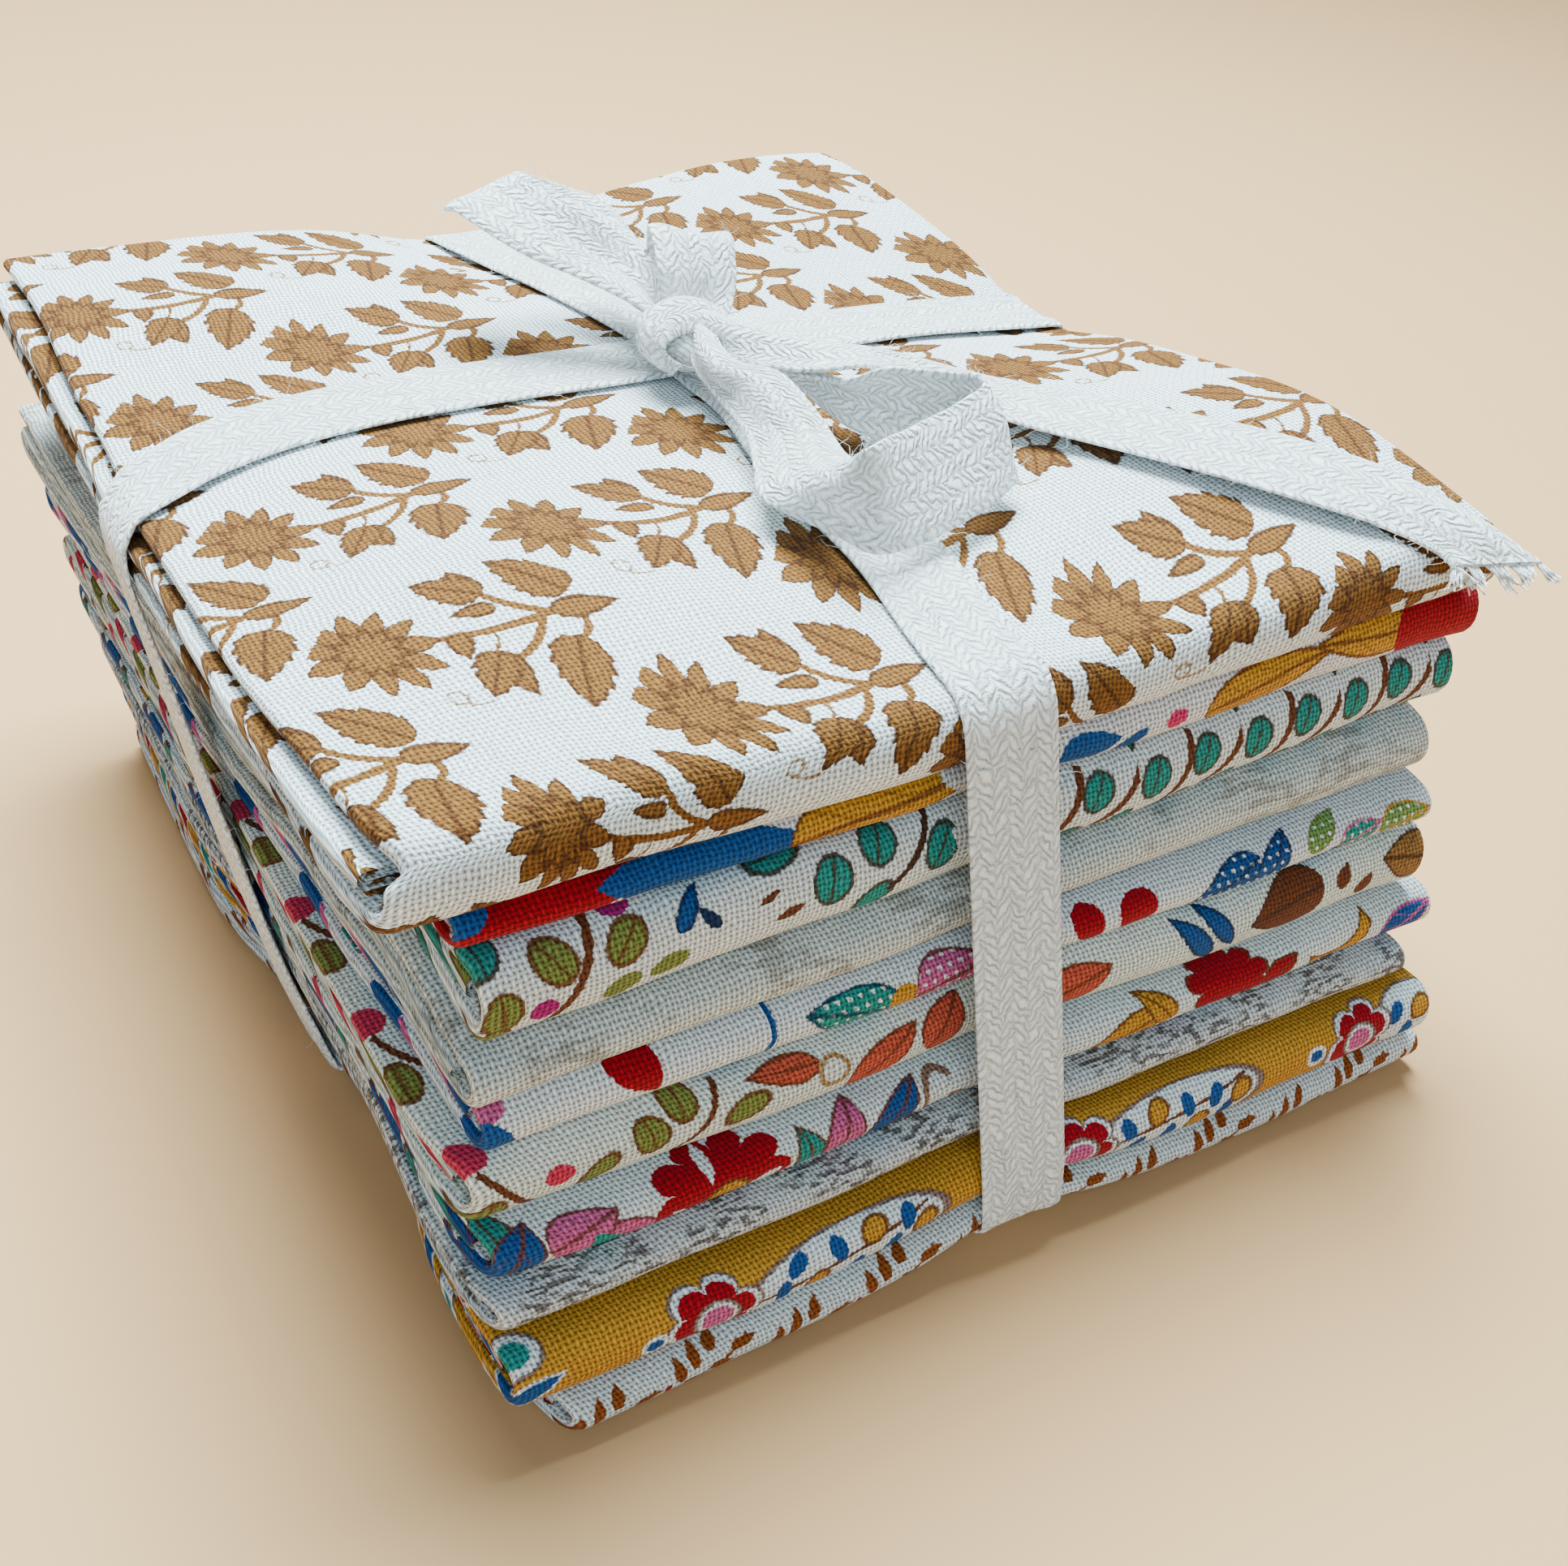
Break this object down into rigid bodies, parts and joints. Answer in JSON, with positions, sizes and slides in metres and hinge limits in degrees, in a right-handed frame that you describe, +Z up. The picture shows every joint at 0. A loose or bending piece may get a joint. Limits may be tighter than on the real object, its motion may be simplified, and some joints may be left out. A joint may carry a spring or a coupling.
{
  "type": "fat eighth bundle",
  "caption": "Stack of folded printed cotton cuts with rounded folds along one side, tied crosswise with flat cotton tape in a bow on top.",
  "frame": {"origin": "centre of the bundle's bounding box, on the floor it rests on", "axes": "+Z up, +X to the right along the folded front, +Y from the folded front to the back"},
  "size_m": [0.0935, 0.103, 0.0615],
  "materials": {
    "cloth_01": "plain-woven printed cotton, off-white with tan sprigs",
    "cloth_02": "plain-woven printed cotton, mustard, red and blue",
    "cloth_03": "plain-woven printed cotton, off-white with teal and olive leaves",
    "cloth_04": "plain-woven printed cotton, grey-beige with a faint sketch",
    "cloth_05": "plain-woven printed cotton, white with bright small motifs",
    "cloth_06": "plain-woven printed cotton, cream with olive leaves and red dots",
    "cloth_07": "plain-woven printed cotton, white with large red and blue flowers",
    "cloth_08": "plain-woven printed cotton, white with grey-brown dashes",
    "cloth_09": "plain-woven printed cotton, mustard with red flowers",
    "cloth_10": "plain-woven printed cotton, off-white with rust scrolls",
    "tape": "herringbone twill cotton tape, off-white"
  },
  "bodies": {
    "root": {"cloth_01": "cloth_01", "cloth_02": "cloth_02", "cloth_03": "cloth_03", "cloth_04": "cloth_04", "cloth_05": "cloth_05", "cloth_06": "cloth_06", "cloth_07": "cloth_07", "cloth_08": "cloth_08", "cloth_09": "cloth_09", "cloth_10": "cloth_10", "tape": "tape"}
  },
  "joints": []
}
